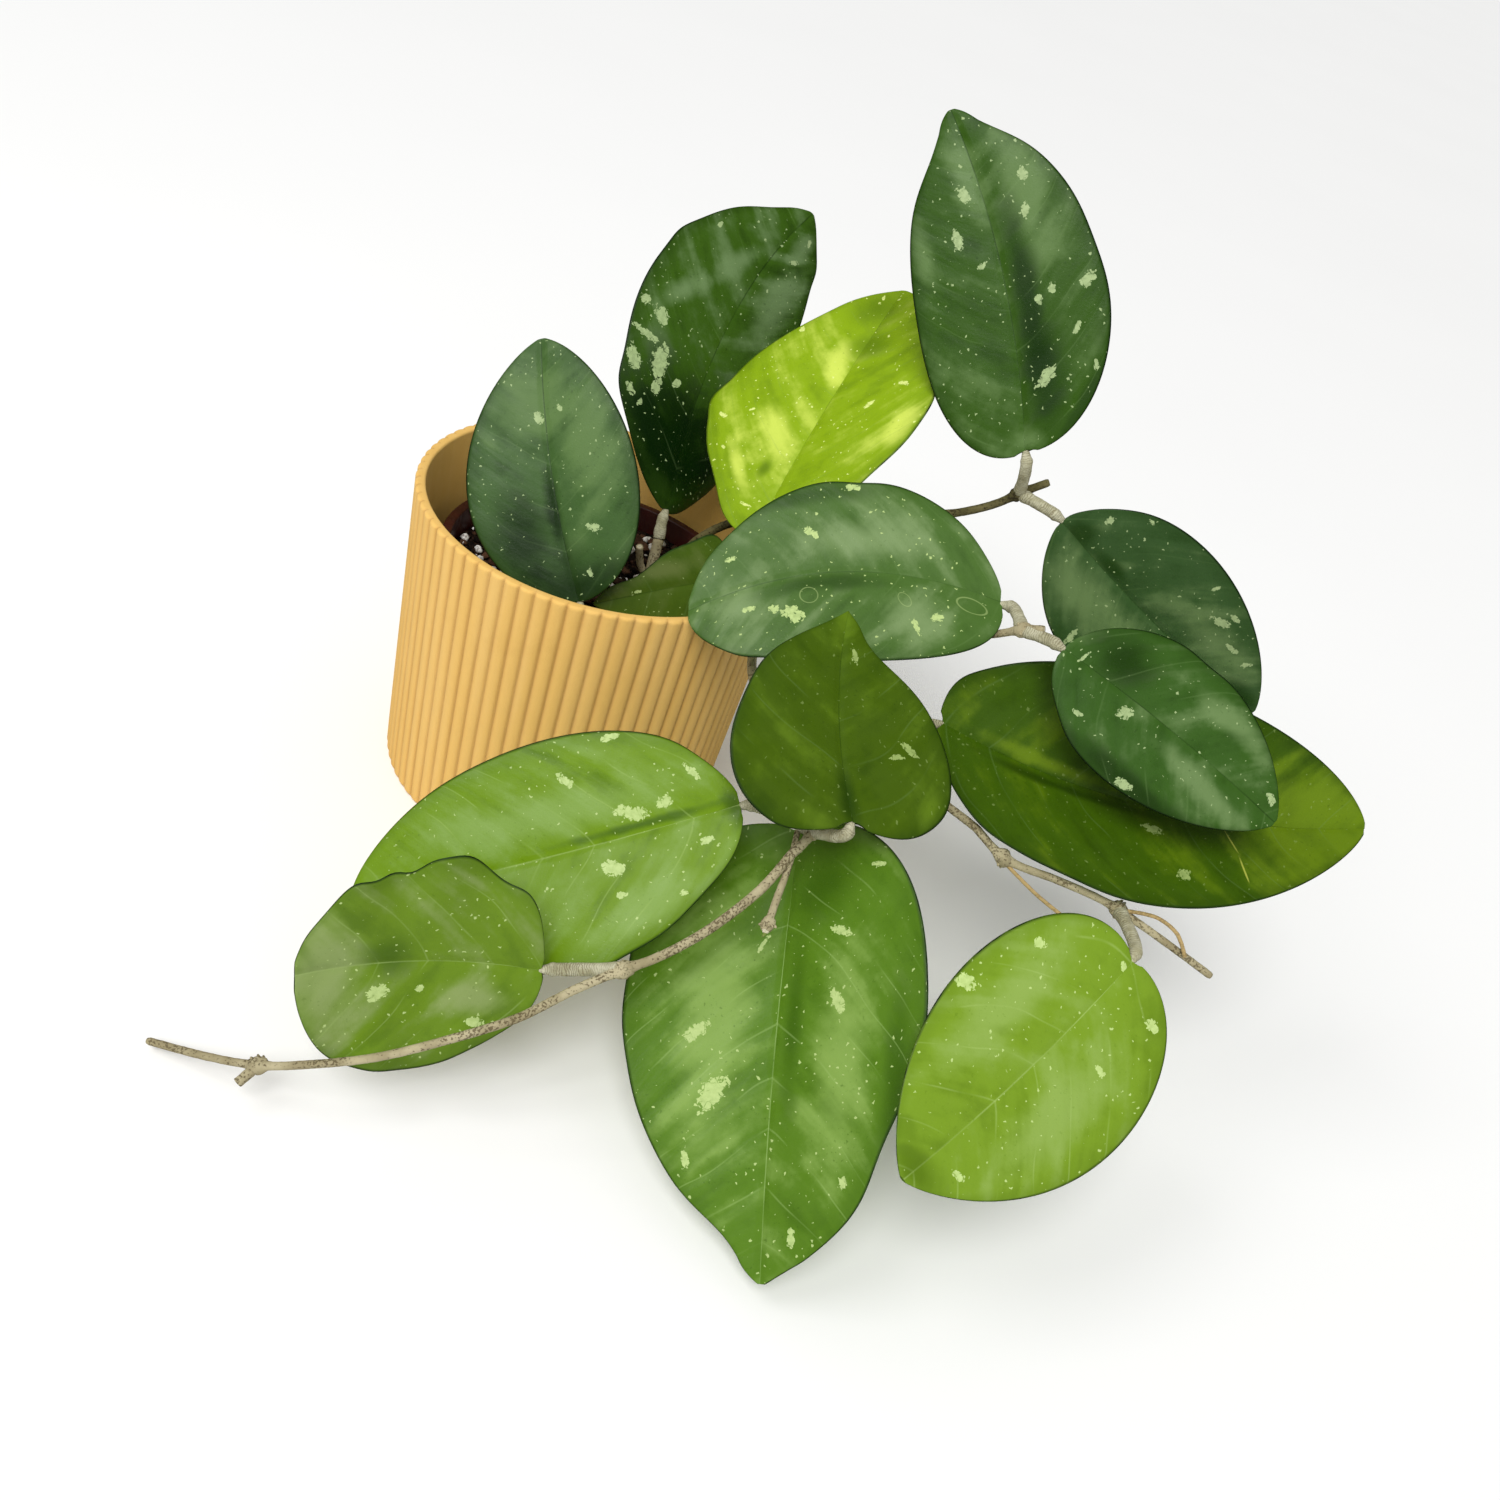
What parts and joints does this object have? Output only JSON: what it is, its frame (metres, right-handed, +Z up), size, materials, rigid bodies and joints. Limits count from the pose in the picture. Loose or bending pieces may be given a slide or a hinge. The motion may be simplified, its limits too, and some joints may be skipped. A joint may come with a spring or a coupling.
{
  "type": "potted joy hoya",
  "caption": "Climbing hoya with thick speckled oval leaves on trailing stems, in soil in a grower's pot that stands inside a fluted cover pot.",
  "frame": {"origin": "middle of the cover pot's flat underside", "axes": "+Z up along the pot's axis; the vines come over the rim on the +X side and trail down in front, towards -Y"},
  "size_m": [0.335, 0.3289, 0.2543],
  "materials": {
    "cover_pot_glaze": "matte mustard yellow, faint vertical streaks",
    "grower_pot_plastic": "satin dark red-brown plastic",
    "potting_soil": "dark crumbly soil with white perlite grains",
    "stem_bark": "taupe bark with brown specks and faint rings",
    "stem_dark": "dark olive-brown bark",
    "leaf_dark": "semi-gloss deep green with cream-green splashes and dots",
    "leaf_mid": "semi-gloss mid green with cream-green splashes and dots",
    "leaf_olive": "semi-gloss olive green with pale dots",
    "leaf_light": "semi-gloss light green with pale splashes",
    "leaf_lime": "glossy lime green, thin young blade"
  },
  "bodies": {
    "root": {"cover_pot": "cover_pot_glaze", "grower_pot": "grower_pot_plastic", "soil": "potting_soil", "stem_pot_front": "stem_bark", "stem_pot_tall": "stem_bark", "vine_upper_right": "stem_dark", "vine_right": "stem_bark", "vine_front": "stem_bark", "vine_far_right": "stem_bark", "leaf_pot_front": "leaf_dark", "leaf_pot_tall": "leaf_dark", "leaf_lime": "leaf_lime", "leaf_rim_right": "leaf_mid", "leaf_top_right": "leaf_dark", "leaf_right_upper": "leaf_dark", "leaf_right_small": "leaf_dark", "leaf_far_right": "leaf_olive", "leaf_heart": "leaf_olive", "leaf_left_long": "leaf_mid", "leaf_left_end": "leaf_mid", "leaf_low_centre": "leaf_mid", "leaf_low_right": "leaf_light", "leaf_rim_small": "leaf_mid"}
  },
  "joints": []
}
